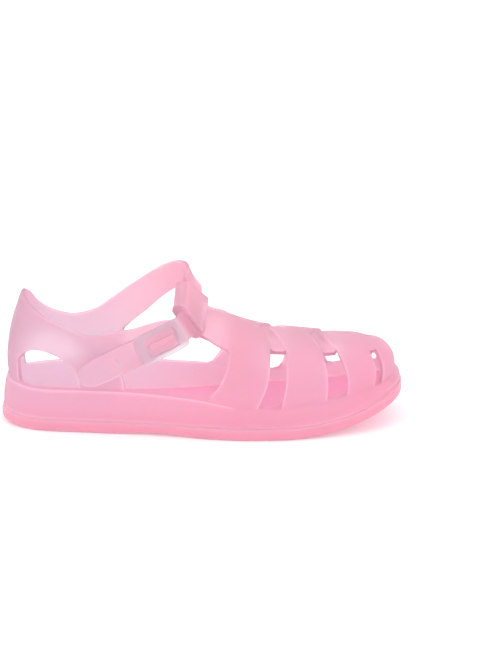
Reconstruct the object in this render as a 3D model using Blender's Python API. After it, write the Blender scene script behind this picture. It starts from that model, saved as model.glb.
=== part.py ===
"""A child's right jelly sandal: outsole, insole, one moulded upper and a buckle.

Sizes are millimetres, measured from the back of the heel (x) and the heel's middle line (y, inner side up);
the frame's origin is on the floor under the middle of the shoe.
"""

import math

import bmesh
import bpy
from mathutils import Vector

LENGTH = 168.0
SOLE_TOP = 4.5
INSOLE_TOP = 7.3
CLEAR = 0.3
SPRING_START = 117.2
SPRING_RISE = 12.0
SPRING_POWER = 2.2
HEEL_LIFT = 1.5
HEEL_LIFT_END = 18.0
HEEL_ROUND = 24.0
TOE_ROUND = 40.0
HEEL_POWER = 2.1
TOE_POWER = 2.7
TOE_SWING = 4.0
SWING_START = 100.0
OUTLINE_STEPS = 200
OUTLINE_NUDGE = 0.004
# Places of the outline between the heel counter and the cage.
WAIST = (56.5, 61.5, 66.5, 71.5, 76.5, 81.5)

WALL_FOOT = 1.0
WALL_MID = 0.75
WALL_LIP = 2.4
WALL_STEP = 0.9
WALL_BULGE = 0.45
WALL_EDGE = 0.6
WALL_INNER_FOOT = 5.2
WALL_INNER_LIP = 5.5
STRAP = 2.2
WEB_DROP = 1.4

# Rings of the outsole's side, lowest first.
SOLE_RINGS = (
    # inset, height
    (1.2, 0.0),
    (0.3, 0.4),
    (0.0, 1.2),
    (0.0, 3.8),
    (0.4, SOLE_TOP),
)
INSOLE_SOFT_IN = 0.8
INSOLE_SOFT_DOWN = 0.6

# Half widths of the sole's outline on the outer and inner side.
SOLE_NAMES = ("x", "outer", "inner")
SOLE = (
    (0.0, 20.0, 20.0),
    (22.0, 21.0, 20.5),
    (41.0, 23.2, 21.0),
    (60.0, 25.6, 20.2),
    (75.0, 28.6, 21.5),
    (90.0, 31.8, 25.6),
    (105.0, 33.4, 29.2),
    (118.0, 33.4, 30.6),
    (132.0, 31.6, 29.6),
    (150.0, 29.0, 27.0),
    (168.0, 27.0, 25.0),
)

# Height of the side wall above the floor line of the sole, on the outer and inner side.
WALL_NAMES = ("x", "outer", "inner")
WALL = (
    (0.0, 19.0, 19.0),
    (7.0, 18.4, 19.0),
    (16.0, 17.6, 19.2),
    (45.0, 18.0, 20.4),
    (68.0, 17.2, 19.4),
    (85.0, 16.0, 17.2),
    (100.0, 13.4, 13.8),
    (110.0, 12.4, 12.4),
    (120.0, 12.7, 12.7),
    (136.0, 13.4, 13.4),
    (150.0, 12.5, 12.5),
    (168.0, 9.6, 9.6),
)

# Top line of the cage, from the T-bar to the toe.
RIDGE_NAMES = ("x", "y", "z")
RIDGE = (
    (84.0, 2.8, 46.4),
    (92.0, 3.4, 44.8),
    (100.0, 3.0, 41.8),
    (106.0, 3.0, 39.3),
    (112.0, 3.0, 38.0),
    (120.0, 3.0, 37.2),
    (128.0, 3.0, 36.3),
    (138.0, 3.2, 35.3),
    (151.0, 3.6, 33.6),
)

# Lines of the cage from the wall (base) by the spine's edge to the ridge, and what follows towards the toe.
CAGE = (
    # base, spine, ridge, bend, follows
    (86.5, 96.6, 97.0, 0.55, "bar"),
    (91.5, 100.4, 99.5, 0.55, "bar"),
    (96.5, 104.4, 102.0, 0.55, "bar"),
    (101.5, 108.4, 104.5, 0.55, "bar"),
    (107.0, 112.6, 107.0, 0.55, "groove"),
    (117.2, 118.9, 112.4, 0.8, "bar"),
    (122.0, 122.4, 116.2, 1.0, "bar"),
    (127.0, 126.0, 120.0, 1.4, "bar"),
    (132.0, 129.8, 124.0, 1.8, "bar"),
    (136.5, 133.6, 127.8, 2.2, "groove"),
    (145.6, 139.6, 132.6, 2.2, "bar"),
    (149.0, 145.0, 136.5, 2.2, "bar"),
    (153.2, 149.8, 140.0, 2.2, "bar"),
    (157.6, 153.8, 143.5, 2.2, "slot"),
    (161.2, 156.5, 146.2, 2.2, "cap"),
    (164.2, 157.4, 148.2, 2.3, "cap"),
    (166.4, 157.9, 149.6, 2.4, "cap"),
    (167.7, 158.2, 150.6, 2.4, "cap"),
)
# Angles of the cage's rows, from the wall up to the ridge; the fifth is the edge of the spine.
CAGE_ROWS = {
    "outer": (90.0, 75.0, 60.0, 46.0, 33.0, 16.0, 0.0),
    "inner": (90.0, 73.0, 56.0, 40.0, 25.5, 12.0, 0.0),
}
SPINE_ROW = 4
BAR_BULGE = 1.2
CROWN_REACH = 12.0
WEB_SHARES = (("a", 0.14), ("b", 0.86))

# T-bar behind the cage: outer edge, ridge and inner edge.
TBAR = (
    # x, outer_y, outer_z, ridge_y, ridge_z, inner_y, inner_z
    (93.4, -17.0, 34.8, 3.4, 44.2, 13.8, 42.2),
    (90.0, -13.8, 35.7, 3.2, 43.6, 12.4, 43.4),
    (86.6, -10.0, 37.2, 2.8, 43.0, 10.8, 44.8),
)

TBAR_CROWN = 0.8
TBAR_SINK = 0.45
# Where the T-bar's lines meet the loop, along the loop from its inner to its outer end.
TBAR_SEAT = (0.95, 0.75, 0.6, 0.42, 0.25, 0.05)

# Lines of the heel counter from the back to the pillar: window arch, collar and lean, outer and inner side.
COUNTER = (
    # base, arch_outer, arch_inner, collar_outer, collar_inner, lean, follows
    (0.3, 28.4, 28.4, 55.0, 55.0, 0.0, "post"),
    (1.5, 28.4, 28.4, 54.4, 54.4, 0.0, "post"),
    (3.6, 28.4, 28.4, 53.4, 53.0, 0.0, "post"),
    (6.2, 28.4, 28.4, 52.0, 51.0, 0.0, "window"),
    (9.4, 32.0, 32.0, 50.4, 48.4, 0.0, "window"),
    (14.0, 33.8, 33.8, 48.4, 45.2, 0.0, "window"),
    (19.5, 33.2, 33.2, 46.4, 42.4, 0.0, "window"),
    (25.0, 31.2, 31.2, 44.3, 40.8, 0.0, "window"),
    (29.4, 28.4, 28.6, 42.5, 40.2, 0.0, "window"),
    (32.8, 24.0, 25.0, 41.4, 40.4, -0.6, "pillar"),
    (39.0, 24.0, 26.6, 40.2, 41.4, -1.6, "pillar"),
    (45.5, 24.6, 29.6, 40.3, 43.2, -3.0, "pillar"),
    (52.0, 26.4, 33.6, 41.8, 46.0, -5.0, "end"),
)
COUNTER_ROWS = (0.0, 0.34, 0.67, 1.0, 1.34, 1.67, 2.0)
# Back of the heel and width of the counter against height.
HEEL_NAMES = ("z", "back", "side")
HEEL = (
    (17.0, 0.0, 1.0),
    (24.0, -0.6, 0.985),
    (31.0, -0.7, 0.965),
    (38.0, 0.4, 0.94),
    (46.0, 3.0, 0.915),
    (56.0, 7.0, 0.89),
)
HEEL_REACH = 34.0

# Middle line of the ankle strap, from the inner counter through the loop and the buckle to its free tail.
STRAP_LEG = Vector((-0.5, 0.0, 0.866))
STRAP_RUN = (
    # x, y, z, width
    (56.5, 17.8, 46.2, 13.0),
    (62.5, 18.8, 50.6, 11.8),
    (68.5, 18.8, 54.6, 11.2),
    (74.8, 17.6, 57.6, 10.8),
    (79.6, 13.8, 57.0, 10.6),
    (80.0, 7.4, 51.8, 10.6),
    (79.4, 0.2, 47.4, 10.6),
    (78.8, -6.8, 44.2, 10.6),
    (76.2, -13.2, 42.0, 10.6),
    (71.4, -18.4, 40.2, 10.6),
    (65.2, -21.4, 38.0, 10.8),
    (58.0, -22.9, 34.8, 11.0),
    (50.5, -23.6, 31.2, 11.0),
    (43.5, -23.7, 27.6, 10.8),
    (38.0, -23.3, 24.8, 9.6),
    (34.6, -22.9, 23.1, 5.4),
)
STRAP_STEPS = 4
LOOP_FROM = 5.0
LOOP_TO = 7.25
BUCKLE_FROM = 8.25
BUCKLE_TO = 11.0
BAR_CELLS = 2
ACROSS = (-0.5, -0.17, 0.17, 0.5)

# Outer arm that carries the buckle, from the outer counter.
ARM_RUN = (
    # x, y, z, width
    (58.5, -19.9, 36.6, 15.0),
    (65.0, -17.9, 39.0, 13.4),
    (70.6, -15.3, 41.0, 11.2),
    (73.6, -13.4, 42.2, 8.0),
)
ARM_STEPS = 2

LOOP_WALL = 1.8
LOOP_RIM = 3.0
LOOP_GAP = 0.45
LOOP_SOFT = 0.5
FRAME_LIFT = 0.35
FRAME_THICK = 2.0
FRAME_WIDTH = 12.6
FRAME_RAIL = 2.2
PRONG_WIDTH = 2.4
PRONG_THICK = 1.4
PRONG_GAP = 0.12

TREAD_DEPTH = 1.2
TREAD_WIDTH = 2.6
TREAD_MARGIN = 6.0
TREAD = (10.0, 18.0, 26.0, 34.0, 42.0, 84.0, 92.0, 100.0, 108.0, 116.0, 124.0, 132.0, 140.0, 148.0)
ARCH_FROM = 45.5
ARCH_TO = 86.5
ARCH_RISE = 1.0

COLOURS = {
    # red, green, blue, roughness
    "outsole": (0.95, 0.34, 0.45, 0.45),
    "insole": (0.92, 0.40, 0.52, 0.55),
    "upper": (0.90, 0.55, 0.68, 0.42),
    "buckle_frame": (0.84, 0.70, 0.76, 0.30),
    "buckle_prong": (0.84, 0.70, 0.76, 0.30),
}


def clear_scene():
    for thing in list(bpy.data.objects):
        bpy.data.objects.remove(thing, do_unlink=True)


def read(table, names, column, at):
    """Smooth value of a table's column at a place along its first column, without overshoot."""
    keys = [row[0] for row in table]
    values = [row[names.index(column)] for row in table]
    at = min(max(at, keys[0]), keys[-1])
    last = len(keys) - 1
    slopes = []
    for i in range(len(keys)):
        low = max(i - 1, 0)
        high = min(i + 1, last)
        slope = (values[high] - values[low]) / (keys[high] - keys[low])
        if 0 < i < last and (values[high] - values[i]) * (values[i] - values[low]) <= 0:
            slope = 0.0
        slopes.append(slope)
    i = min(max(sum(key <= at for key in keys) - 1, 0), last - 1)
    span = keys[i + 1] - keys[i]
    t = (at - keys[i]) / span
    return (values[i] * (2 * t**3 - 3 * t**2 + 1) + slopes[i] * span * (t**3 - 2 * t**2 + t)
            + values[i + 1] * (3 * t**2 - 2 * t**3) + slopes[i + 1] * span * (t**3 - t**2))


def ease(value):
    value = min(max(value, 0.0), 1.0)
    return value * value * (3 - 2 * value)


def ground(x):
    """Height of the sole's floor line: a lifted heel edge, flat to the ball, then the toe spring."""
    heel = max(0.0, 1 - x / HEEL_LIFT_END)
    toe = max(0.0, (x - SPRING_START) / (LENGTH - SPRING_START))
    return HEEL_LIFT * heel**2 + SPRING_RISE * toe**SPRING_POWER


def edge(turn, side):
    """Point of the sole's outline; turn runs from 0 at the heel's back to 1 at the toe's tip."""
    x = LENGTH * (1 - math.cos(math.pi * turn)) / 2
    heel = max(0.0, 1 - x / HEEL_ROUND)
    toe = max(0.0, (x - LENGTH + TOE_ROUND) / TOE_ROUND)
    close = (1 - heel**HEEL_POWER)**(1 / HEEL_POWER) * max(0.0, 1 - toe**TOE_POWER)**(1 / TOE_POWER)
    half = read(SOLE, SOLE_NAMES, side, x) * close
    swing = TOE_SWING * ease((x - SWING_START) / (LENGTH - SWING_START))
    return Vector((x, swing + half * (1 if side == "inner" else -1), 0.0))


def outline(x, side, inset=0.0):
    """Point of the outline at a place along the shoe, moved inwards square to the outline."""
    turn = math.acos(1 - 2 * x / LENGTH) / math.pi
    here = edge(turn, side)
    along = edge(min(turn + OUTLINE_NUDGE, 1.0), side) - edge(max(turn - OUTLINE_NUDGE, 0.0), side)
    along.normalize()
    out = Vector((along.y, -along.x, 0.0)) * (1 if side == "outer" else -1)
    return here - out * inset


def wall_top(x, side):
    return ground(x) + read(WALL, WALL_NAMES, side, x)


MIDDLE = (max(edge(i / OUTLINE_STEPS, "inner").y for i in range(OUTLINE_STEPS + 1))
          + min(edge(i / OUTLINE_STEPS, "outer").y for i in range(OUTLINE_STEPS + 1))) / 2


def place(point):
    """From shoe millimetres to the frame's metres."""
    return Vector((point.x - LENGTH / 2, point.y - MIDDLE, point.z)) / 1000


def paint(thing):
    red, green, blue, roughness = COLOURS[thing.name]
    material = bpy.data.materials.new(thing.name)
    material.use_nodes = True
    shader = material.node_tree.nodes["Principled BSDF"]
    shader.inputs["Base Color"].default_value = (red, green, blue, 1.0)
    shader.inputs["Roughness"].default_value = roughness
    shader.inputs["Metallic"].default_value = 0.0
    thing.data.materials.append(material)


def finish(mesh, name, smooth_angle=40.0):
    """Object from a bmesh in millimetres."""
    for vert in mesh.verts:
        vert.co = place(vert.co)
    bmesh.ops.recalc_face_normals(mesh, faces=mesh.faces)
    data = bpy.data.meshes.new(name)
    mesh.to_mesh(data)
    mesh.free()
    data.shade_smooth()
    data.set_sharp_from_angle(angle=math.radians(smooth_angle))
    thing = bpy.data.objects.new(name, data)
    bpy.context.collection.objects.link(thing)
    return thing


def hide(thing):
    thing.hide_render = True
    thing.display_type = "WIRE"


def combine(thing, other, operation):
    step = thing.modifiers.new(other.name, "BOOLEAN")
    step.operation = operation
    step.solver = "EXACT"
    step.object = other
    hide(other)


def stations():
    """Places along one side where the outline of sole and wall has its points, heel to toe."""
    return [row[0] for row in COUNTER] + list(WAIST) + [row[0] for row in CAGE]


def disc(rings):
    """Closed solid from rings of (inset, height above the floor line), lowest first."""
    mesh = bmesh.new()
    places = stations()
    loops = []
    for inset, height in rings:
        sides = []
        for side in ("outer", "inner"):
            line = [outline(x, side, inset) for x in places]
            sides.append([mesh.verts.new((p.x, p.y, ground(p.x) + height)) for p in line])
        loops.append(sides)
    for low, high in zip(loops, loops[1:]):
        low_ring = low[0] + low[1][::-1]
        high_ring = high[0] + high[1][::-1]
        for i in range(len(low_ring)):
            j = (i + 1) % len(low_ring)
            mesh.faces.new((low_ring[i], low_ring[j], high_ring[j], high_ring[i]))
    for outer, inner in (loops[0], loops[-1]):
        for i in range(len(places) - 1):
            mesh.faces.new((outer[i], outer[i + 1], inner[i + 1], inner[i]))
    return mesh


def arched(mesh):
    """Raise the underside of the waist a little."""
    for vert in mesh.verts:
        if ARCH_FROM < vert.co.x < ARCH_TO and vert.co.z < SOLE_TOP / 2:
            part = (vert.co.x - ARCH_FROM) / (ARCH_TO - ARCH_FROM)
            vert.co.z += ARCH_RISE * math.sin(math.pi * part)**2
    return mesh


def outsole():
    sole = finish(arched(disc(SOLE_RINGS)), "outsole")
    grooves = bmesh.new()
    for x in TREAD:
        low = outline(x, "outer", TREAD_MARGIN).y
        high = outline(x, "inner", TREAD_MARGIN).y
        block = bmesh.ops.create_cube(grooves, size=1.0)["verts"]
        bmesh.ops.scale(grooves, verts=block, vec=(TREAD_WIDTH, high - low, 2 * TREAD_DEPTH))
        bmesh.ops.translate(grooves, verts=block, vec=(x, (low + high) / 2, ground(x)))
    combine(sole, finish(grooves, "tread_grooves"), "DIFFERENCE")
    return sole


def insole():
    inset = WALL_INNER_LIP + CLEAR
    low = SOLE_TOP + CLEAR
    rings = ((inset, low), (inset, INSOLE_TOP - INSOLE_SOFT_DOWN), (inset + INSOLE_SOFT_IN, INSOLE_TOP))
    return finish(disc(rings), "insole")


class Sheet:
    """Outer skin of the upper as named points and faces, thickened to a closed solid at the end."""

    def __init__(self):
        self.mesh = bmesh.new()
        self.points = {}
        self.under = {}

    def point(self, key, outer, inner=None):
        if key not in self.points:
            self.points[key] = self.mesh.verts.new(outer)
            if inner is not None:
                self.under[self.points[key]] = Vector(inner)
        return key

    def patch(self, *keys):
        verts = []
        for key in keys:
            if self.points[key] not in verts:
                verts.append(self.points[key])
        self.mesh.faces.new(verts)

    def strip(self, first, second, rows):
        for low, high in zip(rows, rows[1:]):
            self.patch(first + (low,), second + (low,), second + (high,), first + (high,))

    def solid(self):
        bmesh.ops.recalc_face_normals(self.mesh, faces=self.mesh.faces)
        self.mesh.normal_update()
        lowest = min(self.mesh.faces, key=lambda face: face.calc_center_median().x)
        if lowest.normal.x > 0:
            bmesh.ops.reverse_faces(self.mesh, faces=self.mesh.faces)
            self.mesh.normal_update()
        skin = list(self.mesh.faces)
        rims = [tuple(e.verts) for e in self.mesh.edges if len(e.link_faces) == 1]
        inner = {}
        for vert in list(self.mesh.verts):
            inner[vert] = self.mesh.verts.new(self.under.get(vert, vert.co - vert.normal * STRAP))
        for face in skin:
            self.mesh.faces.new([inner[v] for v in reversed(face.verts)])
        for first, second in rims:
            self.mesh.faces.new((first, second, inner[second], inner[first]))
        return self.mesh


WALL_KEYS = ("foot", "mid", "lip", 0)


def wall(sheet):
    """Side wall all round, proud of what rises from it by a step."""
    places = stations()
    for side in ("outer", "inner"):
        for x in places:
            foot = outline(x, side, WALL_FOOT)
            mid = outline(x, side, WALL_MID)
            lip = outline(x, side, WALL_LIP)
            step = outline(x, side, WALL_LIP + WALL_STEP)
            inner_foot = outline(x, side, WALL_INNER_FOOT)
            inner_lip = outline(x, side, WALL_INNER_LIP)
            low = SOLE_TOP + CLEAR
            foot_z = ground(foot.x) + low
            mid_z = foot_z + WALL_BULGE * (wall_top(mid.x, side) - foot_z)
            lip_z = wall_top(lip.x, side) - WALL_EDGE
            step_z = wall_top(step.x, side)
            up = Vector((0, 0, 1))
            sheet.point((side, x, "foot"), foot + up * foot_z, inner_foot + up * foot_z)
            sheet.point((side, x, "mid"), mid + up * mid_z, inner_foot.lerp(inner_lip, 0.5) + up * mid_z)
            sheet.point((side, x, "lip"), lip + up * lip_z, inner_lip + up * (lip_z - WALL_EDGE))
            sheet.point((side, x, 0), step + up * step_z, inner_lip + up * step_z)
        for x, after in zip(places, places[1:]):
            sheet.strip((side, x), (side, after), WALL_KEYS)
    for x in (places[0], places[-1]):
        sheet.strip(("outer", x), ("inner", x), WALL_KEYS)


def cage_point(row, side, angle):
    """Point on the cage at an angle from the ridge (0) down to the wall (90)."""
    base_x, spine_x, ridge_x, bend, _ = row
    base = outline(base_x, side, WALL_LIP + WALL_STEP)
    base.z = wall_top(base.x, side)
    out = math.sin(math.radians(angle))
    up = math.cos(math.radians(angle))
    spine = math.radians(CAGE_ROWS[side][SPINE_ROW])
    if angle >= CAGE_ROWS[side][SPINE_ROW]:
        share = max(up / math.cos(spine), 0.0)
        x = base.x + (spine_x - base.x) * share**bend + BAR_BULGE * math.sin(math.pi * share)
    else:
        x = ridge_x + (spine_x - ridge_x) * out / math.sin(spine)
    crown = min(x, ridge_x) if ridge_x > base.x - CROWN_REACH else x
    ridge_y = read(RIDGE, RIDGE_NAMES, "y", ridge_x)
    ridge_z = read(RIDGE, RIDGE_NAMES, "z", crown)
    return Vector((x, ridge_y + (base.y - ridge_y) * out, base.z + (ridge_z - base.z) * up))


def cage(sheet):
    """Bars, spine and toe cap over the forefoot."""
    rows = range(1, len(CAGE_ROWS["outer"]))
    top = len(CAGE_ROWS["outer"]) - 1
    for row in CAGE:
        for side in ("outer", "inner"):
            for r in rows:
                if r < top:
                    sheet.point((side, row[0], r), cage_point(row, side, CAGE_ROWS[side][r]))
        sheet.point(("ridge", row[0], top), cage_point(row, "outer", 0.0))
        for side in ("outer", "inner"):
            sheet.points[(side, row[0], top)] = sheet.points[("ridge", row[0], top)]
    for row, after in zip(CAGE, CAGE[1:]):
        follows = row[4]
        for side in ("outer", "inner"):
            if follows in ("bar", "cap"):
                sheet.strip((side, row[0]), (side, after[0]), range(top + 1))
            elif follows == "slot":
                sheet.strip((side, row[0]), (side, after[0]), range(SPINE_ROW, top + 1))
            else:
                groove(sheet, row, after, side, top)
    last = CAGE[-1][0]
    sheet.strip(("outer", last), ("inner", last), range(top))
    sheet.patch(("outer", last, top - 1), ("inner", last, top - 1), ("ridge", last, top))


def groove(sheet, row, after, side, top):
    """Sunk web of the spine between two bars, above the slot that it continues."""
    for name, share in WEB_SHARES:
        for r in range(SPINE_ROW, top + 1):
            line = "ridge" if r == top else side
            low = sheet.points[(side, row[0], r)].co
            high = sheet.points[(side, after[0], r)].co
            key = (line, row[0], name, r)
            sheet.point(key, low.lerp(high, share) - Vector((0, 0, WEB_DROP)))
            sheet.points[(side, row[0], name, r)] = sheet.points[key]
    span = range(SPINE_ROW, top + 1)
    sheet.strip((side, row[0]), (side, row[0], "a"), span)
    sheet.strip((side, row[0], "a"), (side, row[0], "b"), span)
    sheet.strip((side, row[0], "b"), (side, after[0]), span)


def counter_point(row, side, share):
    """Point of the heel counter: share 0 at the wall, 1 at the window's arch, 2 at the collar."""
    base_x, arch_outer, arch_inner, collar_outer, collar_inner, lean, _ = row
    base = outline(base_x, side, WALL_LIP + WALL_STEP)
    foot = wall_top(base.x, side)
    arch, collar = (arch_outer, collar_outer) if side == "outer" else (arch_inner, collar_inner)
    z = foot + (arch - foot) * share if share <= 1 else arch + (collar - arch) * (share - 1)
    back = read(HEEL, HEEL_NAMES, "back", z) * max(0.0, 1 - base.x / HEEL_REACH)
    tilt = lean * max(0.0, share - 0.5)
    return Vector((base.x + back + tilt, base.y * read(HEEL, HEEL_NAMES, "side", z), z))


def counter(sheet):
    """Heel counter with a window on each side, up to the pillars' front edges."""
    top = len(COUNTER_ROWS) - 1
    arch = COUNTER_ROWS.index(1.0)
    for row in COUNTER:
        for side in ("outer", "inner"):
            for r in range(1, top + 1):
                sheet.point((side, row[0], r), counter_point(row, side, COUNTER_ROWS[r]))
    for row, after in zip(COUNTER, COUNTER[1:]):
        low = arch if row[-1] == "window" else 0
        for side in ("outer", "inner"):
            sheet.strip((side, row[0]), (side, after[0]), range(low, top + 1))
    sheet.strip(("outer", COUNTER[0][0]), ("inner", COUNTER[0][0]), range(top + 1))


def spline(run, steps):
    """Points with widths along a run of sections, on a smooth curve through them."""
    rows = [Vector(row) for row in run]
    places = []
    for i in range(len(rows) - 1):
        before = rows[max(i - 1, 0)]
        after = rows[min(i + 2, len(rows) - 1)]
        for k in range(steps):
            places.append(flow(before, rows[i], rows[i + 1], after, k / steps))
    return places + [rows[-1]]


def flow(before, start, end, after, t):
    slope_in = (end - before) / 2
    slope_out = (after - start) / 2
    return (start * (2 * t**3 - 3 * t**2 + 1) + slope_in * (t**3 - 2 * t**2 + t)
            + end * (3 * t**2 - 2 * t**3) + slope_out * (t**3 - t**2))


def frames(places):
    """Middle, direction across, direction outwards and width of a band at each place along it."""
    result = []
    for i, here in enumerate(places):
        ahead = places[min(i + 1, len(places) - 1)].to_3d() - places[max(i - 1, 0)].to_3d()
        ahead.normalize()
        across = (STRAP_LEG - ahead * STRAP_LEG.dot(ahead)).normalized()
        result.append((here.to_3d(), across, across.cross(ahead), here.w))
    return result


def strap_frames():
    return frames(spline(STRAP_RUN, STRAP_STEPS))


def band(sheet, name, side, run, outwards):
    """Flat band that goes on from the counter's front edge on one side."""
    arch = COUNTER_ROWS.index(1.0)
    start = [(side, COUNTER[-1][0], arch + k) for k in range(len(ACROSS))]
    for step, (middle, across, normal, width) in enumerate(run):
        keys = []
        for k, share in enumerate(ACROSS):
            skin = middle + across * width * share + normal * outwards * STRAP / 2
            back = middle + across * width * share - normal * outwards * STRAP / 2
            keys.append(sheet.point((name, step, k), skin, back))
        for k in range(len(ACROSS) - 1):
            sheet.patch(start[k], keys[k], keys[k + 1], start[k + 1])
        start = keys


def loop_rings():
    """Rings of the loop's outer and inner outline along the strap."""
    places = strap_frames()
    rings = []
    for middle, across, normal, width in places[int(LOOP_FROM * STRAP_STEPS):int(LOOP_TO * STRAP_STEPS) + 1]:
        half = width / 2 + LOOP_GAP
        deep = STRAP / 2 + LOOP_GAP
        pair = []
        for w, d in ((half + LOOP_RIM, deep + LOOP_WALL), (half, deep)):
            soft = min(w, d) * LOOP_SOFT
            corners = ((-w, d - soft), (-w + soft, d), (w - soft, d), (w, d - soft),
                       (w, soft - d), (w - soft, -d), (soft - w, -d), (-w, soft - d))
            pair.append([middle + across * a + normal * b for a, b in corners])
        rings.append(pair)
    return rings


def loop():
    """Loop at the head of the T-bar that the strap runs through."""
    mesh = bmesh.new()
    rings = [[[mesh.verts.new(p) for p in ring] for ring in pair] for pair in loop_rings()]
    count = len(rings[0][0])
    for i in range(count):
        j = (i + 1) % count
        for before, after in zip(rings, rings[1:]):
            for ring in (0, 1):
                mesh.faces.new((before[ring][i], before[ring][j], after[ring][j], after[ring][i]))
        for outer, inner in (rings[0], rings[-1]):
            mesh.faces.new((outer[i], outer[j], inner[j], inner[i]))
    return finish(mesh, "tbar_loop")


def tbar(sheet):
    """Strip from the cage's rear edge up to the loop's lower rim."""
    top = len(CAGE_ROWS["outer"]) - 1
    rear = CAGE[0][0]
    start = [("outer", rear, SPINE_ROW - 1), ("outer", rear, SPINE_ROW), ("outer", rear, SPINE_ROW + 1),
             ("ridge", rear, top), ("inner", rear, SPINE_ROW + 1), ("inner", rear, SPINE_ROW)]
    sections = []
    for x, outer_y, outer_z, ridge_y, ridge_z, inner_y, inner_z in TBAR:
        outer = Vector((x, outer_y, outer_z))
        ridge = Vector((x, ridge_y, ridge_z))
        inner = Vector((x, inner_y, inner_z))
        crown = Vector((0, 0, TBAR_CROWN))
        sections.append([outer, outer.lerp(ridge, 1 / 3) + crown, outer.lerp(ridge, 2 / 3) + crown,
                         ridge, ridge.lerp(inner, 0.5) + crown / 2, inner])
    places = strap_frames()
    first = int(LOOP_FROM * STRAP_STEPS)
    last = int(LOOP_TO * STRAP_STEPS)
    seat = []
    for share in TBAR_SEAT:
        middle, across, normal, width = places[round(first + (last - first) * share)]
        seat.append(middle - across * (width / 2 + LOOP_GAP + LOOP_RIM * TBAR_SINK) + normal * STRAP / 2)
    sections.append(seat)
    for step, section in enumerate(sections):
        keys = [sheet.point(("tbar", step, k), p) for k, p in enumerate(section)]
        for k in range(len(keys) - 1):
            sheet.patch(start[k], keys[k], keys[k + 1], start[k + 1])
        start = keys


def upper():
    sheet = Sheet()
    wall(sheet)
    cage(sheet)
    tbar(sheet)
    counter(sheet)
    band(sheet, "strap", "inner", strap_frames(), 1.0)
    band(sheet, "arm", "outer", frames(spline(ARM_RUN, ARM_STEPS)), -1.0)
    body = finish(sheet.solid(), "upper")
    combine(body, loop(), "UNION")
    return body


def buckle_span():
    places = strap_frames()
    return places[int(BUCKLE_FROM * STRAP_STEPS):int(BUCKLE_TO * STRAP_STEPS) + 1]


def slab(grid, lift, thick):
    """Closed plate over the named cells of a grid of points with normals."""
    mesh = bmesh.new()
    low = [[mesh.verts.new(p + n * lift) for p, n in row] for row in grid["points"]]
    high = [[mesh.verts.new(p + n * (lift + thick)) for p, n in row] for row in grid["points"]]
    for i, j in grid["cells"]:
        for skin in (low, high):
            mesh.faces.new((skin[i][j], skin[i + 1][j], skin[i + 1][j + 1], skin[i][j + 1]))
    rims = [tuple(e.verts) for e in mesh.edges if len(e.link_faces) == 1]
    pair = {}
    for low_row, high_row in zip(low, high):
        pair.update(zip(low_row, high_row))
    for first, second in rims:
        if first in pair:
            mesh.faces.new((first, second, pair[second], pair[first]))
    return mesh


def buckle_frame():
    """Clear frame over the strap, bowed with it."""
    half = FRAME_WIDTH / 2
    offsets = (-half, FRAME_RAIL - half, half - FRAME_RAIL, half)
    places = buckle_span()
    points = [[(m + a * w, n) for w in offsets] for m, a, n, _ in places]
    steps = len(places) - 1
    cells = [(i, j) for i in range(steps) for j in range(3)
             if j != 1 or min(i, steps - 1 - i) < BAR_CELLS]
    mesh = slab({"points": points, "cells": cells}, STRAP / 2 + FRAME_LIFT, FRAME_THICK)
    return finish(mesh, "buckle_frame")


def buckle_prong():
    """Tongue along the middle of the frame's opening."""
    places = buckle_span()[BAR_CELLS:-BAR_CELLS]
    offsets = (-PRONG_WIDTH / 2, PRONG_WIDTH / 2)
    first = places[0][0].lerp(places[1][0], PRONG_GAP)
    last = places[-1][0].lerp(places[-2][0], PRONG_GAP)
    middles = [first] + [p[0] for p in places[1:-1]] + [last]
    points = [[(m + p[1] * w, p[2]) for w in offsets] for m, p in zip(middles, places)]
    cells = [(i, 0) for i in range(len(places) - 1)]
    mesh = slab({"points": points, "cells": cells}, STRAP / 2 + FRAME_LIFT, PRONG_THICK)
    return finish(mesh, "buckle_prong")


def main():
    clear_scene()
    for make in (outsole, insole, upper, buckle_frame, buckle_prong):
        paint(make())


main()
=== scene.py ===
# Looks of a child's moulded jelly sandal: soft translucent upper, sole and footbed, and a clear buckle.
import math

import bmesh
import bpy
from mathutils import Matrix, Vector
from mathutils.bvhtree import BVHTree


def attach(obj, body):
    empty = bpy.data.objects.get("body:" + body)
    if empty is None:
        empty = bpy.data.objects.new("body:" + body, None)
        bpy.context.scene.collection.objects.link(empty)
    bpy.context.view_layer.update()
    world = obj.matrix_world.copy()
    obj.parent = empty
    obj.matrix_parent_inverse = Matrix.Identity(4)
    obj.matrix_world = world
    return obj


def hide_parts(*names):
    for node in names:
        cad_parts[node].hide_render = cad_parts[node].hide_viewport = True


mmPerMetre = 1000

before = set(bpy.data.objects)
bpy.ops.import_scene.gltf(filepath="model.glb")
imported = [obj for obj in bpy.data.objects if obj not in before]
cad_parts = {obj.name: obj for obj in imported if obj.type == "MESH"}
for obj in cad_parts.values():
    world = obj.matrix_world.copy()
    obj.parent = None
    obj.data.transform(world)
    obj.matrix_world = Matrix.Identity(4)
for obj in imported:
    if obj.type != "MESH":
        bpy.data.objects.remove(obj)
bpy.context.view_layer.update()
print("solids loaded:", ", ".join(sorted(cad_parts)))


def plug(tree, value, slot):  # a link for a wire, else a constant
    if isinstance(value, Wire):
        tree.links.new(value.socket, slot)
    else:
        slot.default_value = value


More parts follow.
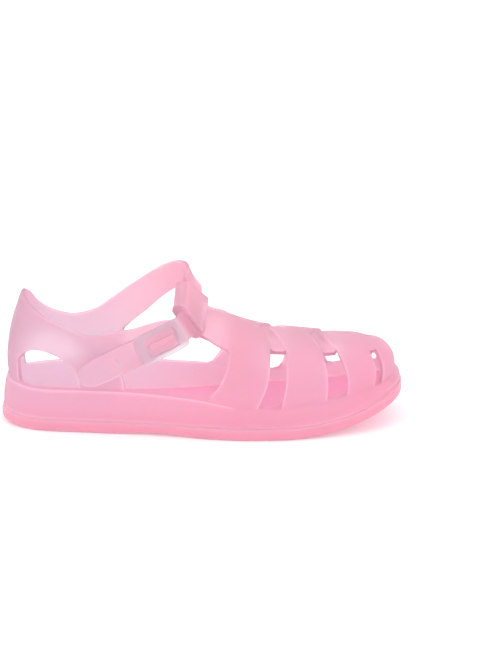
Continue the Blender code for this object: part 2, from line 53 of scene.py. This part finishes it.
class Wire:  # a socket that takes part in sums
    def __init__(self, tree, socket):
        self.tree = tree
        self.socket = socket

    def sum(self, operation, first, second):
        step = self.tree.nodes.new("ShaderNodeMath")
        step.operation = operation
        plug(self.tree, first, step.inputs[0])
        plug(self.tree, second, step.inputs[1])
        return Wire(self.tree, step.outputs[0])

    def __add__(self, other):
        return self.sum("ADD", self, other)

    def __radd__(self, other):
        return self.sum("ADD", other, self)

    def __sub__(self, other):
        return self.sum("SUBTRACT", self, other)

    def __rsub__(self, other):
        return self.sum("SUBTRACT", other, self)

    def __mul__(self, other):
        return self.sum("MULTIPLY", self, other)

    def __rmul__(self, other):
        return self.sum("MULTIPLY", other, self)

    def __truediv__(self, other):
        return self.sum("DIVIDE", self, other)

    def __rtruediv__(self, other):
        return self.sum("DIVIDE", other, self)


class Finish:  # one material, its shader and a method for every other node
    def __init__(self, name, **constants):
        self.material = bpy.data.materials.new(name)
        self.material.use_nodes = True
        self.tree = self.material.node_tree
        self.shader = self.tree.nodes["Principled BSDF"]
        for socket, value in constants.items():
            self.shader.inputs[socket.replace("_", " ")].default_value = value

    def node(self, kind, settings=None, output=0, **sockets):
        step = self.tree.nodes.new(kind)
        for key, value in (settings or {}).items():
            if key == "stops":
                self.ramp(step.color_ramp, value)
            else:
                setattr(step, key, value)
        for key, value in sockets.items():
            numbered = key[0] == "i" and key[1:].isdigit()  # i6 is the socket of number 6
            plug(self.tree, value, step.inputs[int(key[1:]) if numbered else key.replace("_", " ")])
        return Wire(self.tree, step.outputs[output])

    def ramp(self, ramp, stops):
        while len(ramp.elements) < len(stops):
            ramp.elements.new(1.0)
        for element, (position, tint) in zip(ramp.elements, stops):
            element.position = position
            element.color = tint

    def blend(self, first, second, share):  # one tint into another
        return self.node("ShaderNodeMix", {"data_type": "RGBA"}, output=2, i0=share, i6=first, i7=second)

    def step(self, value, start, end):  # 0 to 1 with soft ends
        return self.node("ShaderNodeMapRange", {"interpolation_type": "SMOOTHSTEP"},
                         Value=value, From_Min=start, From_Max=end)

    def feed(self, socket, wire):
        self.tree.links.new(wire.socket, self.shader.inputs[socket])


def colour(red, green, blue):  # screen values 0 to 255 to linear light
    def linear(v):
        v /= 255
        return v / 12.92 if v <= 0.04045 else ((v + 0.055) / 1.055) ** 2.4
    return (linear(red), linear(green), linear(blue), 1.0)


# finishes

layers = ("wall", "inner", "foot", "rim", "shelter")  # what the soft finish reads at every point
noiseMiddle = 0.5

softPvc = {
    "along": ((0.0, colour(230, 186, 205)), (0.08, colour(231, 204, 217)), (0.2, colour(235, 205, 217)),
              (0.32, colour(244, 208, 219)), (0.5, colour(246, 196, 212)), (0.65, colour(246, 202, 217)),
              (0.8, colour(246, 204, 219)), (1.0, colour(253, 194, 215))),
    "heel": -0.084,  # metres, ends of the tints along the shoe
    "toe": 0.084,
    "thick": colour(247, 196, 213),
    "thickShare": 0.7,
    "thinWall": 1.6,  # mm
    "thickWall": 4.5,
    # painted light: the faces turned to the foot are tinted pale, as if lit through the wall
    "inside": colour(236, 232, 241),
    "insideShare": 1.0,
    "base": colour(250, 182, 204),
    "baseShare": 0.35,
    "baseHeight": 7.0,  # mm from the sole where its tint ends
    # painted light: a faint glow that lifts the shade all over, though the plastic is no lamp
    "paintedGlow": (0.02, 0.0065, 0.012, 1.0),
    # painted highlight along the rounded rims
    "rimGlow": (0.27, 0.19, 0.215, 1.0),
    "paintedSeamLight": (0.18, 0.16, 0.18, 1.0),  # painted light, a soft pale line that lifts the shade in the seam where wall and sole meet
    "seamShare": 1.0,
    "seamHeight": 0.9,  # mm
    "paintedCornerLight": (0.065, 0.075, 0.08, 1.0),  # painted light in the corners and creases that the other parts shade
    "clear": 0.62,
    "bend": 1.2,  # low, so that what stands behind is not shifted
    "scatter": 0.6,
    "scatterTint": (1.0, 0.55, 0.65),
    "scatterDepth": 0.004,
    "coat": 0.12,
    "coatRoughness": 0.3,
    "roughness": 0.5,
    "cloud": 45.0,  # waves per metre
    "cloudRoughness": 0.12,
    "grain": 900.0,
    "grainRoughness": 0.08,
    "grainHeight": 0.00004,
    "grainStrength": 0.25,
}

clearPlastic = {
    "clear": 0.85,
    "bend": 1.1,
    "scatter": 0.4,
    "scatterDepth": 0.003,
    "coat": 0.2,
    "coatRoughness": 0.15,
    # painted light: the buckle glows faintly to lift its shade
    "paintedGlow": (1.0, 0.95, 0.97, 1.0),
    "paintedGlowStrength": 0.05,
    "roughness": 0.3,
    "cloud": 90.0,
    "cloudRoughness": 0.1,
}


def pvcFinish(name, settings):
    finish = Finish(name, Subsurface_Weight=settings["scatter"], Subsurface_Radius=settings["scatterTint"],
                    Subsurface_Scale=settings["scatterDepth"], Transmission_Weight=settings["clear"],
                    IOR=settings["bend"], Coat_Weight=settings["coat"],
                    Coat_Roughness=settings["coatRoughness"], Emission_Strength=1.0)
    wall, inner, foot, rim, shelter = (finish.node("ShaderNodeAttribute", {"attribute_name": layer}, output=2)
                                       for layer in layers)
    point = finish.node("ShaderNodeTexCoord", output=3)
    cloud = finish.node("ShaderNodeTexNoise", Vector=point, Scale=settings["cloud"], Detail=2.0)
    grain = finish.node("ShaderNodeTexNoise", Vector=point, Scale=settings["grain"], Detail=3.0)
    along = finish.node("ShaderNodeSeparateXYZ", Vector=point)
    tint = finish.node("ShaderNodeValToRGB", {"stops": settings["along"]},
                       Fac=(along - settings["heel"]) / (settings["toe"] - settings["heel"]))
    thick = finish.step(wall, settings["thinWall"], settings["thickWall"])
    tint = finish.blend(tint, settings["thick"], settings["thickShare"] * thick)
    # painted light on the inner faces
    tint = finish.blend(tint, settings["inside"], inner * settings["insideShare"])
    base = finish.step(foot, settings["baseHeight"], 0.0)
    finish.feed("Base Color", finish.blend(tint, settings["base"], settings["baseShare"] * base))
    # painted light: an even faint glow, more of it in sheltered corners, a painted highlight on the rims and
    # a pale painted line at the seam
    paintedGlow = finish.blend(settings["paintedGlow"], settings["paintedCornerLight"], shelter)
    paintedGlow = finish.blend(paintedGlow, settings["rimGlow"], rim)
    seamLightMask = finish.step(foot, settings["seamHeight"], 0.0)
    finish.feed("Emission Color", finish.blend(paintedGlow, settings["paintedSeamLight"], settings["seamShare"] * seamLightMask))
    finish.feed("Roughness", settings["roughness"] + (cloud - noiseMiddle) * settings["cloudRoughness"]
                + (grain - noiseMiddle) * settings["grainRoughness"])
    finish.feed("Normal", finish.node("ShaderNodeBump", Strength=settings["grainStrength"],
                                      Distance=settings["grainHeight"], Height=grain))
    return finish.material


def clearFinish(name, settings):
    finish = Finish(name, Transmission_Weight=settings["clear"], IOR=settings["bend"],
                    Subsurface_Weight=settings["scatter"], Subsurface_Scale=settings["scatterDepth"],
                    Coat_Weight=settings["coat"], Coat_Roughness=settings["coatRoughness"],
                    Emission_Color=settings["paintedGlow"], Emission_Strength=settings["paintedGlowStrength"])
    point = finish.node("ShaderNodeTexCoord", output=3)
    cloud = finish.node("ShaderNodeTexNoise", Vector=point, Scale=settings["cloud"], Detail=2.0)
    finish.feed("Base Color", finish.blend(settings["milky"], settings["pale"], cloud))
    finish.feed("Roughness", settings["roughness"] + cloud * settings["cloudRoughness"])
    return finish.material


# what the finishes read, worked out from the solids

probe = {"start": 0.0002, "deepest": 0.02, "turns": 3}  # metres into the wall, rounds of evening
shade = {"rays": 60, "start": 0.0004, "grazing": 0.1, "turns": 1}  # start in metres off the surface


def portion(value, start, end):  # how far from start to end, kept between 0 and 1
    return min(1.0, max(0.0, (value - start) / (end - start)))


def evened(mesh, found, turns):  # values evened out over the neighbours
    for _ in range(turns):
        before = dict(found)
        for vert in mesh.verts:
            beside = [before[edge.other_vert(vert)] for edge in vert.link_edges]
            found[vert] = (before[vert] + sum(beside) / len(beside)) / 2
    return found


def solidTree(*nodes):
    mesh = bmesh.new()
    for node in nodes:
        mesh.from_mesh(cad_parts[node].data)
    tree = BVHTree.FromBMesh(mesh)
    mesh.free()
    return tree


def wallThickness(mesh):  # mm of plastic under every point
    tree = BVHTree.FromBMesh(mesh)
    layer = mesh.verts.layers.float["wall"]
    found = {}
    for vert in mesh.verts:
        inwards = -vert.normal
        hit = tree.ray_cast(vert.co + inwards * probe["start"], inwards, probe["deepest"])
        found[vert] = (hit[3] + probe["start"] if hit[0] else probe["deepest"]) * mmPerMetre
    for vert, depth in evened(mesh, found, probe["turns"]).items():
        vert[layer] = depth


def sheltered(mesh, settings):  # how much of the light the other parts of the shoe keep off, which sets the painted corner light
    tree = solidTree(*sorted(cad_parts))
    layer = mesh.verts.layers.float["shelter"]
    rays = []
    for count in range(shade["rays"]):  # an even spread over the ball, by the golden angle
        high = 1 - (2 * count + 1) / shade["rays"]
        angle = count * math.pi * (3 - math.sqrt(5))
        flat = math.sqrt(1 - high * high)
        rays.append(Vector((math.cos(angle) * flat, math.sin(angle) * flat, high)))
    found = {}
    for vert in mesh.verts:
        seen = [ray for ray in rays if ray.dot(vert.normal) > shade["grazing"]]
        start = vert.co + vert.normal * shade["start"]
        hits = sum(tree.ray_cast(start, ray, settings["shelterReach"])[0] is not None for ray in seen)
        found[vert] = portion(hits / len(seen), settings["openShare"], settings["shutShare"])
    for vert, share in evened(mesh, found, shade["turns"]).items():
        vert[layer] = share


def footHeight(mesh, settings):  # mm from the piece that it meets at the seam
    tree = solidTree(settings["meets"])
    layer = mesh.verts.layers.float["foot"]
    for vert in mesh.verts:
        vert[layer] = tree.find_nearest(vert.co)[3] * mmPerMetre


def paintInsideLight(mesh, settings):  # painted light on the faces turned to the foot, palest low at the heel
    layer = mesh.verts.layers.float["inner"]
    for vert in mesh.verts:
        turned = vert.normal.y * (-1 if vert.co.y > 0 else 1)
        if turned > settings["insideTurn"]:
            down = portion(vert.co.z, settings["insideTop"], settings["insideLow"])
            ahead = portion(vert.co.x, settings["insideHeel"], settings["insideFront"])
            vert[layer] = down * (1 - ahead * settings["insideFade"])


# shapes, each made from its solid

mergeGap = 0.00001


def solidCopy(node, settings):  # a solid's mesh with its triangles joined to quads
    mesh = bmesh.new()
    mesh.from_mesh(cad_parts[node].data)
    mesh.edges.layers.float.new("crease_edge")
    for layer in layers:
        mesh.verts.layers.float.new(layer)
    bmesh.ops.remove_doubles(mesh, verts=mesh.verts, dist=mergeGap)
    bmesh.ops.join_triangles(mesh, faces=mesh.faces, angle_face_threshold=math.radians(settings["flat"]),
                             angle_shape_threshold=math.radians(settings["square"]))
    mesh.normal_update()
    return mesh


def sharpEdges(mesh, settings):
    limit = math.radians(settings["edgeAngle"])
    return [edge for edge in mesh.edges if edge.is_manifold and edge.calc_face_angle() > limit]


def soften(mesh, edges, settings):  # creases for the edges that stay crisp
    crease = mesh.edges.layers.float["crease_edge"]
    for edge in edges:
        edge[crease] = settings["crease"]


def rimLines(mesh, settings):  # narrow rounded rims, which catch some light and carry a painted highlight
    room = settings["rim"] * settings["rimRoom"]
    sharp = sharpEdges(mesh, settings)
    proud = {edge for edge in sharp if edge.is_convex}
    spots = [Vector(spot) for spot in settings["softCorners"]]
    corners = [edge for edge in sharp if edge not in proud and edge.calc_length() < settings["cornerLength"]
               and all(sum(e in proud for e in v.link_edges) > 1 for v in edge.verts)
               and not any((v.co - spot).length < settings["spotSize"] for v in edge.verts for spot in spots)]
    rims = [edge for edge in [e for e in sharp if e in proud] + corners
            if min(e.calc_length() for v in edge.verts for e in v.link_edges) > room]
    soften(mesh, set(sharp).difference(rims), settings)
    cut = bmesh.ops.bevel(mesh, geom=rims, offset=settings["rim"], offset_type="OFFSET", affect="EDGES",
                          segments=settings["rimSegments"], profile=0.5, material=-1,
                          clamp_overlap=False, loop_slide=True)
    strip = set(cut["faces"])
    layer = mesh.verts.layers.float["rim"]
    for vert in cut["verts"]:
        if all(face in strip for face in vert.link_faces):
            strap = vert.co.x < settings["strapBehind"]
            soft = vert.co.z > settings["strapRimAbove" if strap else "cageRimAbove"]
            vert[layer] = settings["softRim"] if soft else 1.0


def strapHole(mesh, settings):  # a blind oval hole in the strap's tail
    spot = Vector(settings["hole"])
    outer = [f for f in mesh.faces if f.normal.y < settings["holeSide"]]
    face = min(outer, key=lambda f: (f.calc_center_median() - spot).length)
    print("strap hole in a face of", [round(e.calc_length() * mmPerMetre, 2) for e in face.edges], "mm")
    inward = -face.normal * settings["holeDepth"]
    bmesh.ops.inset_individual(mesh, faces=[face], thickness=settings["holeRim"], use_even_offset=True)
    bmesh.ops.translate(mesh, verts=face.verts, vec=inward)


def seat(mesh, settings):  # the sole's shoulder meets the wall's foot, as one moulding
    tree = solidTree(settings["meets"])
    for vert in mesh.verts:
        found = tree.find_nearest(vert.co, settings["reach"])
        if found[0] and found[0].z > vert.co.z:
            vert.co.z += settings["lift"]


def keepTread(mesh, settings):  # the grooves under the sole stay straight
    crease = mesh.edges.layers.float["crease_edge"]
    under = {vert for face in mesh.faces if face.normal.z < settings["under"] for vert in face.verts}
    flats = {face for face in mesh.faces if all(vert in under for vert in face.verts)}
    inside = {vert for vert in under if all(face in flats for face in vert.link_faces)}
    for edge in mesh.edges:
        if all(vert in inside for vert in edge.verts):
            edge[crease] = 1.0


def place(mesh, name, node, settings, material):  # the object for a solid, rounded by subdivision
    wallThickness(mesh)
    for face in mesh.faces:
        face.smooth = True
    data = bpy.data.meshes.new(name)
    mesh.to_mesh(data)
    print(name, "faces:", len(mesh.faces))
    mesh.free()
    piece = bpy.data.objects.new(name, data)
    bpy.context.collection.objects.link(piece)
    rounding = piece.modifiers.new("rounding", "SUBSURF")
    rounding.levels = settings["levels"]
    rounding.render_levels = settings["levels"]
    data.materials.append(material)
    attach(piece, "root")
    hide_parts(node)


def moulded(name, node, settings, material):
    mesh = solidCopy(node, settings)
    if "lift" in settings:
        seat(mesh, settings)
    if "rim" in settings:
        rimLines(mesh, settings)
        strapHole(mesh, settings)
        mesh.normal_update()
    else:
        soften(mesh, sharpEdges(mesh, settings), settings)
    if "under" in settings:
        keepTread(mesh, settings)
    if "meets" in settings:
        footHeight(mesh, settings)
    if "insideTurn" in settings:
        paintInsideLight(mesh, settings)
    if "shelterReach" in settings:
        sheltered(mesh, settings)
    place(mesh, name, node, settings, material)


def buckle(name, node, settings, material):  # corners pulled in and left soft, rims crisp
    mesh = solidCopy(node, settings)
    sharp = sharpEdges(mesh, settings)
    middle = sum((v.co for v in mesh.verts), Vector()) / len(mesh.verts)
    corners = [v for v in mesh.verts if sum(e in sharp for e in v.link_edges) == settings["cornerEdges"]]
    far = max((v.co - middle).length for v in corners)
    uprights = [e for e in sharp if e.verts[0] in corners and e.verts[1] in corners
                and e.calc_length() < settings["upright"]]
    for vert in corners:
        if (vert.co - middle).length > far * settings["outerShare"]:
            vert.co += (middle - vert.co).normalized() * settings["pull"]
    soften(mesh, [e for e in sharp if e not in uprights], settings)
    place(mesh, name, node, settings, material)


# upper

upperLook = {
    "flat": 35.0,  # degrees, for joining triangles
    "square": 80.0,
    "edgeAngle": 38.0,  # sharper edges get a rim or a crease
    "rim": 0.0003,  # metres
    "rimSegments": 2,
    "rimRoom": 1.5,  # shortest edge beside a rim, in rim widths
    "cornerLength": 0.004,  # the slots' inner corners, up to this long, get a rim too
    "softCorners": ((0.0121, 0.0118, 0.0395), (0.0122, -0.0183, 0.0345), (-0.0332, -0.0188, 0.0265),
                    (-0.0342, 0.0154, 0.0336), (0.0724, 0.0115, 0.0320)),  # these have no room for it
    "spotSize": 0.002,
    "crease": 0.9,
    "levels": 1,
    "softRim": 0.2,  # share of the painted rim highlight on the rims high on strap and cage
    "strapBehind": -0.015,
    "strapRimAbove": 0.026,
    "cageRimAbove": 0.029,
    "meets": "outsole",
    "insideTurn": 0.3,
    "insideLow": 0.021,
    "insideTop": 0.055,
    "insideHeel": -0.045,
    "insideFront": 0.015,
    "insideFade": 0.65,
    "hole": (-0.0345, -0.0250, 0.0300),
    "holeSide": -0.5,
    "holeRim": 0.0003,
    "holeDepth": 0.0012,
    "shelterReach": 0.012,
    "openShare": 0.45,
    "shutShare": 0.9,
}

moulded("upperSkin", "upper", upperLook, pvcFinish("upperPvc", softPvc))

# sole

soleLook = {
    "flat": 25.0,
    "square": 80.0,
    "edgeAngle": 35.0,
    "crease": 0.6,
    "levels": 2,
    "under": -0.7,  # faces that look down more than this are tread
    "meets": "upper",
    "reach": 0.0009,
    "lift": 0.00035,
    # painted corner light on the sole too, for shelter within this reach
    "shelterReach": 0.004,
    "openShare": 0.15,
    "shutShare": 0.6,
    "pvc": {
        "along": ((0.0, colour(246, 179, 197)), (0.4, colour(250, 176, 196)), (1.0, colour(254, 172, 194))),
        "thick": colour(254, 166, 187),
        "thickShare": 0.4,
        "clear": 0.35,
        "base": colour(248, 186, 205),
        "baseShare": 0.8,
        "baseHeight": 3.0,
        # painted light: the sole glows faintly to lift its shade
        "paintedGlow": (0.03, 0.03, 0.042, 1.0),
    },
}

solePvc = pvcFinish("solePvc", dict(softPvc, **soleLook["pvc"]))
moulded("soleSkin", "outsole", soleLook, solePvc)

# footbed

bedLook = {
    "flat": 25.0,
    "square": 80.0,
    "edgeAngle": 35.0,
    "crease": 0.5,
    "levels": 2,
    "pvc": {
        "along": ((0.0, colour(253, 200, 222)), (0.5, colour(253, 200, 222)), (0.8, colour(255, 212, 232))),
        "thick": colour(254, 204, 226),
        "thickShare": 0.3,
        "baseShare": 0.0,  # no seam here, so neither its tint nor its painted seam light
        "seamShare": 0.0,
        "clear": 0.35,
        # painted light: the footbed glows to lift the shade inside the shoe
        "paintedGlow": (0.14, 0.052, 0.086, 1.0),
    },
}

bedPvc = pvcFinish("bedPvc", dict(softPvc, **bedLook["pvc"]))
moulded("bedSkin", "insole", bedLook, bedPvc)

# buckle

frameLook = {
    "flat": 25.0,
    "square": 80.0,
    "edgeAngle": 50.0,
    "crease": 0.5,
    "levels": 3,
    "cornerEdges": 3,  # sharp edges that meet at a corner
    "upright": 0.0026,  # metres, longest edge through the thickness
    "outerShare": 0.8,  # corners this far out are pulled in
    "pull": 0.0009,
    "plastic": {"milky": colour(230, 220, 227), "pale": colour(224, 211, 219)},
}
prongLook = dict(frameLook, plastic={"milky": colour(249, 219, 229), "pale": colour(246, 213, 224)})

frameClear = clearFinish("frameClear", dict(clearPlastic, **frameLook["plastic"]))
prongClear = clearFinish("prongClear", dict(clearPlastic, **prongLook["plastic"]))
buckle("buckleFrame", "buckle_frame", frameLook, frameClear)
buckle("buckleProng", "buckle_prong", prongLook, prongClear)
print("pieces modelled")

# floor, light and camera

white = (1.0, 1.0, 1.0, 1.0)

stageLook = {
    "floorSize": 6.0,
    "floorDrop": 0.0002,
    "floor": (0.95, 0.95, 0.95, 1.0),
    "floorRoughness": 0.9,
    "floorGloss": 0.1,
    "lift": 0.16,  # keeps the paper white under the shoe
    "sky": 1.115,
    "lampAim": (0, 0, 0.02),
    "lampSize": 0.8,
    "lamps": {"keySoft": ((-0.5, -0.7, 1.1), 0.8), "rimSoft": ((0.6, 0.8, 0.9), 0.6)},  # stand and watts
}

view = {
    "elevation": 17.0,
    "distance": 1.1,
    "scale": 0.00042,  # metres to a pixel
    "originPixel": (202.0, 416.0),
    "picture": (500, 669),
    "sensor": 24.0,
    "farthest": 20.0,
}


def floor():
    mesh = bmesh.new()
    bmesh.ops.create_grid(mesh, x_segments=1, y_segments=1, size=stageLook["floorSize"] / 2)
    bmesh.ops.translate(mesh, verts=mesh.verts, vec=(0, 0, -stageLook["floorDrop"]))
    data = bpy.data.meshes.new("floor")
    mesh.to_mesh(data)
    mesh.free()
    plate = bpy.data.objects.new("floor", data)
    bpy.context.collection.objects.link(plate)
    paper = Finish("floorPaper", Base_Color=stageLook["floor"], Roughness=stageLook["floorRoughness"],
                   Specular_IOR_Level=stageLook["floorGloss"], Emission_Color=white,
                   Emission_Strength=stageLook["lift"])
    data.materials.append(paper.material)


def skyLight():
    world = bpy.data.worlds.new("studio")
    world.use_nodes = True
    back = world.node_tree.nodes["Background"]
    back.inputs["Color"].default_value = white
    back.inputs["Strength"].default_value = stageLook["sky"]
    bpy.context.scene.world = world


def softBox(name, stand, watts):
    data = bpy.data.lights.new(name, "AREA")
    data.shape = "DISK"
    data.size = stageLook["lampSize"]
    data.energy = watts
    lamp = bpy.data.objects.new(name, data)
    lamp.location = stand
    towards = Vector(stageLook["lampAim"]) - Vector(stand)
    lamp.rotation_euler = towards.to_track_quat("-Z", "Y").to_euler()
    bpy.context.collection.objects.link(lamp)


def camera():
    tilt = math.radians(view["elevation"])
    back = Vector((0, -math.cos(tilt), math.sin(tilt)))
    up = Vector((0, math.sin(tilt), math.cos(tilt)))
    wide, high = view["picture"]
    aside = (wide / 2 - view["originPixel"][0]) * view["scale"]
    raised = (view["originPixel"][1] - high / 2) * view["scale"]
    aim = Vector((aside, 0, 0)) + up * raised
    data = bpy.data.cameras.new("photoView")
    data.sensor_fit = "VERTICAL"
    data.sensor_height = view["sensor"]
    data.lens = data.sensor_height * view["distance"] / (high * view["scale"])
    data.clip_end = view["farthest"]
    eye = bpy.data.objects.new("photoView", data)
    eye.location = aim + back * view["distance"]
    eye.rotation_euler = back.to_track_quat("Z", "Y").to_euler()
    bpy.context.collection.objects.link(eye)
    bpy.context.scene.camera = eye


floor()
skyLight()
for lampName, (stand, watts) in stageLook["lamps"].items():
    softBox(lampName, stand, watts)
camera()
bpy.context.scene.view_settings.view_transform = "Standard"
print("stage set")
